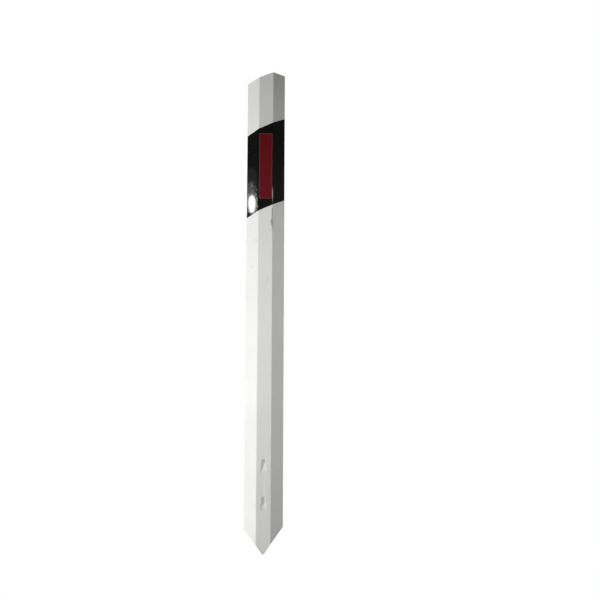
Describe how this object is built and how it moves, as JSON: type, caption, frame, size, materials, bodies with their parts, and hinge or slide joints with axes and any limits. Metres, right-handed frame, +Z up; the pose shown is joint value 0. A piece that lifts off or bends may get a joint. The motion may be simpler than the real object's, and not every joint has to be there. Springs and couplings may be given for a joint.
{
  "type": "flexible delineator post",
  "caption": "Tall white folded-sheet road-edge post with a slanted black band, reflective strips and a pointed barbed foot; it bends flat at the ground when struck and springs back.",
  "frame": {"origin": "on the ground line, in the middle of the width, on the axis that the blade bends about", "axes": "+Z up along the post, +X across its width towards the high side of the slanted band, +Y out of its back; the front faces -Y"},
  "size_m": [0.112, 0.0263, 1.4325],
  "materials": {
    "white_sheet": "satin",
    "black_film": "glossy",
    "red_sheeting": "glossy",
    "white_sheeting": "glossy"
  },
  "bodies": {
    "anchor": {"blade_anchor": "white_sheet"},
    "flex_1": {"blade_flex_1": "white_sheet"},
    "flex_2": {"blade_flex_2": "white_sheet"},
    "flex_3": {"blade_flex_3": "white_sheet"},
    "flex_4": {"blade_flex_4": "white_sheet"},
    "flex_5": {"blade_flex_5": "white_sheet"},
    "flex_6": {"blade_flex_6": "white_sheet"},
    "flex_7": {"blade_flex_7": "white_sheet"},
    "upright": {"blade_upright": "white_sheet", "front_black_film": "black_film", "rear_black_film": "black_film", "red_reflector": "red_sheeting", "white_reflector": "white_sheeting"}
  },
  "joints": [
    {"name": "bend_1", "type": "hinge", "parent": "anchor", "child": "flex_1", "pos_m": [0, 0, 0.03], "axis": [1, 0, 0], "range_deg": [-11.25, 11.25], "stiffness_Nm_per_rad": 100, "deforming": ["blade_flex_1"]},
    {"name": "bend_2", "type": "hinge", "parent": "flex_1", "child": "flex_2", "pos_m": [0, 0, 0.06], "axis": [1, 0, 0], "range_deg": [-11.25, 11.25], "stiffness_Nm_per_rad": 100, "deforming": ["blade_flex_2"]},
    {"name": "bend_3", "type": "hinge", "parent": "flex_2", "child": "flex_3", "pos_m": [0, 0, 0.09], "axis": [1, 0, 0], "range_deg": [-11.25, 11.25], "stiffness_Nm_per_rad": 100, "deforming": ["blade_flex_3"]},
    {"name": "bend_4", "type": "hinge", "parent": "flex_3", "child": "flex_4", "pos_m": [0, 0, 0.12], "axis": [1, 0, 0], "range_deg": [-11.25, 11.25], "stiffness_Nm_per_rad": 100, "deforming": ["blade_flex_4"]},
    {"name": "bend_5", "type": "hinge", "parent": "flex_4", "child": "flex_5", "pos_m": [0, 0, 0.15], "axis": [1, 0, 0], "range_deg": [-11.25, 11.25], "stiffness_Nm_per_rad": 100, "deforming": ["blade_flex_5"]},
    {"name": "bend_6", "type": "hinge", "parent": "flex_5", "child": "flex_6", "pos_m": [0, 0, 0.18], "axis": [1, 0, 0], "range_deg": [-11.25, 11.25], "stiffness_Nm_per_rad": 100, "deforming": ["blade_flex_6"]},
    {"name": "bend_7", "type": "hinge", "parent": "flex_6", "child": "flex_7", "pos_m": [0, 0, 0.21], "axis": [1, 0, 0], "range_deg": [-11.25, 11.25], "stiffness_Nm_per_rad": 100, "deforming": ["blade_flex_7"]},
    {"name": "bend_8", "type": "hinge", "parent": "flex_7", "child": "upright", "pos_m": [0, 0, 0.24], "axis": [1, 0, 0], "range_deg": [-11.25, 11.25], "stiffness_Nm_per_rad": 100}
  ],
  "couplings": [
    {"joint": "bend_2", "follows": "bend_1", "ratio": 1},
    {"joint": "bend_3", "follows": "bend_1", "ratio": 1},
    {"joint": "bend_4", "follows": "bend_1", "ratio": 1},
    {"joint": "bend_5", "follows": "bend_1", "ratio": 1},
    {"joint": "bend_6", "follows": "bend_1", "ratio": 1},
    {"joint": "bend_7", "follows": "bend_1", "ratio": 1},
    {"joint": "bend_8", "follows": "bend_1", "ratio": 1}
  ]
}
